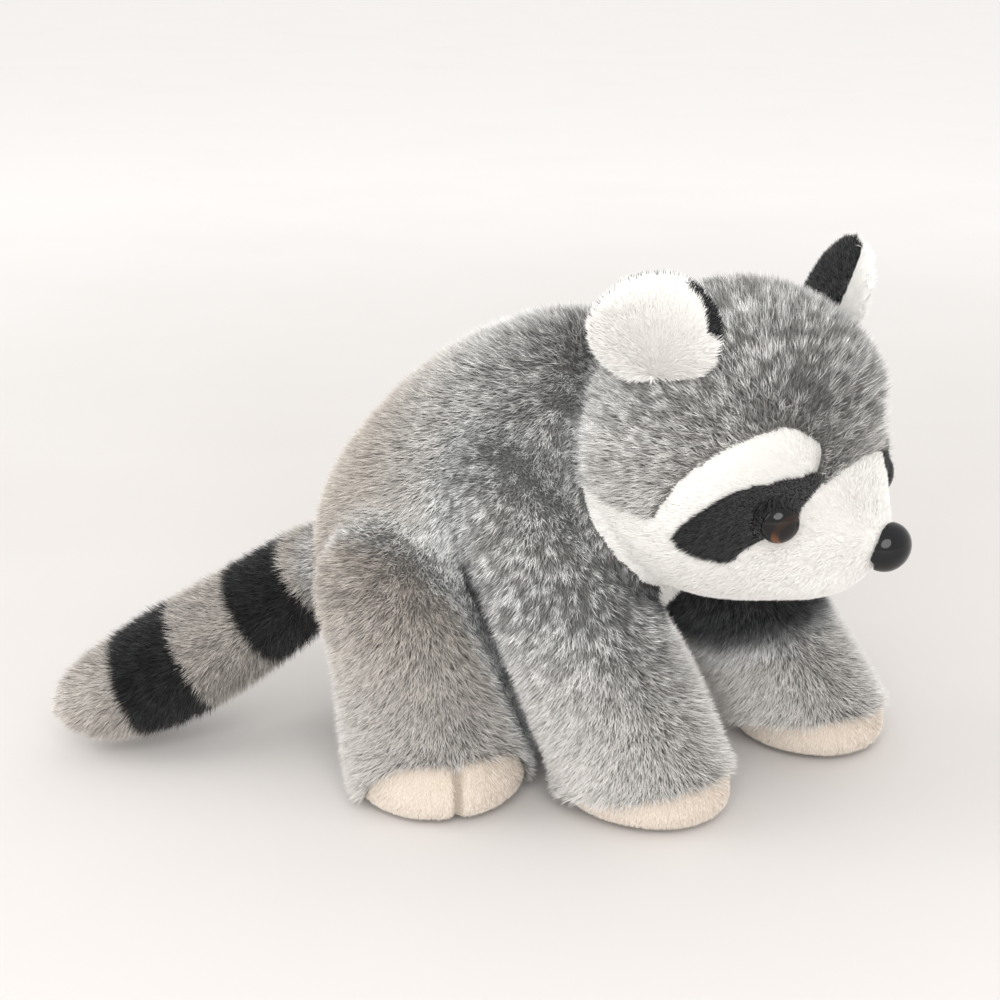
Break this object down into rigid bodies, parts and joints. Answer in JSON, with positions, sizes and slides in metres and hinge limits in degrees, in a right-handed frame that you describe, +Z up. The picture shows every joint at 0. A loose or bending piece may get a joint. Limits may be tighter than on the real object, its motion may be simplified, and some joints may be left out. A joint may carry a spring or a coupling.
{
  "type": "plush raccoon",
  "caption": "Soft stuffed raccoon in long grey pile, standing in a low crouch on short thick legs, with white face panels, a dark eye mask and a ringed tail.",
  "frame": {"origin": "on the floor, under the middle of the toy's bounding box", "axes": "+X the way the body faces, +Y to the toy's left, +Z up"},
  "size_m": [0.3264, 0.1752, 0.214],
  "materials": {
    "grey_fur": "long frosted pile, dark at the roots and pale at the tips",
    "white_plush": "short dense pile",
    "chest_plush": "short dense pile",
    "black_plush": "short dense pile",
    "beige_velour": "short velour pile",
    "nose_plastic": "gloss",
    "eye_plastic": "gloss",
    "washer_plastic": "matt"
  },
  "bodies": {
    "root": {"torso": "grey_fur", "chest_panel": "chest_plush", "head": "grey_fur", "muzzle": "white_plush", "cheek_right": "white_plush", "cheek_left": "white_plush", "brow_right": "white_plush", "brow_left": "white_plush", "eye_mask_right": "black_plush", "eye_mask_left": "black_plush", "nose": "nose_plastic", "nose_washer": "washer_plastic", "eye_right": "eye_plastic", "eye_left": "eye_plastic", "eye_right_washer": "washer_plastic", "eye_left_washer": "washer_plastic", "ear_front_right": "white_plush", "ear_front_left": "white_plush", "ear_back_right": "black_plush", "ear_back_left": "black_plush", "front_right_leg": "grey_fur", "front_left_leg": "grey_fur", "hind_right_leg": "grey_fur", "hind_left_leg": "grey_fur", "front_right_pad": "beige_velour", "front_left_pad": "beige_velour", "hind_right_pad": "beige_velour", "hind_left_pad": "beige_velour", "tail_root": "grey_fur", "tail_ring_1": "black_plush", "tail_ring_2": "grey_fur", "tail_ring_3": "black_plush", "tail_tip": "grey_fur"}
  },
  "joints": []
}
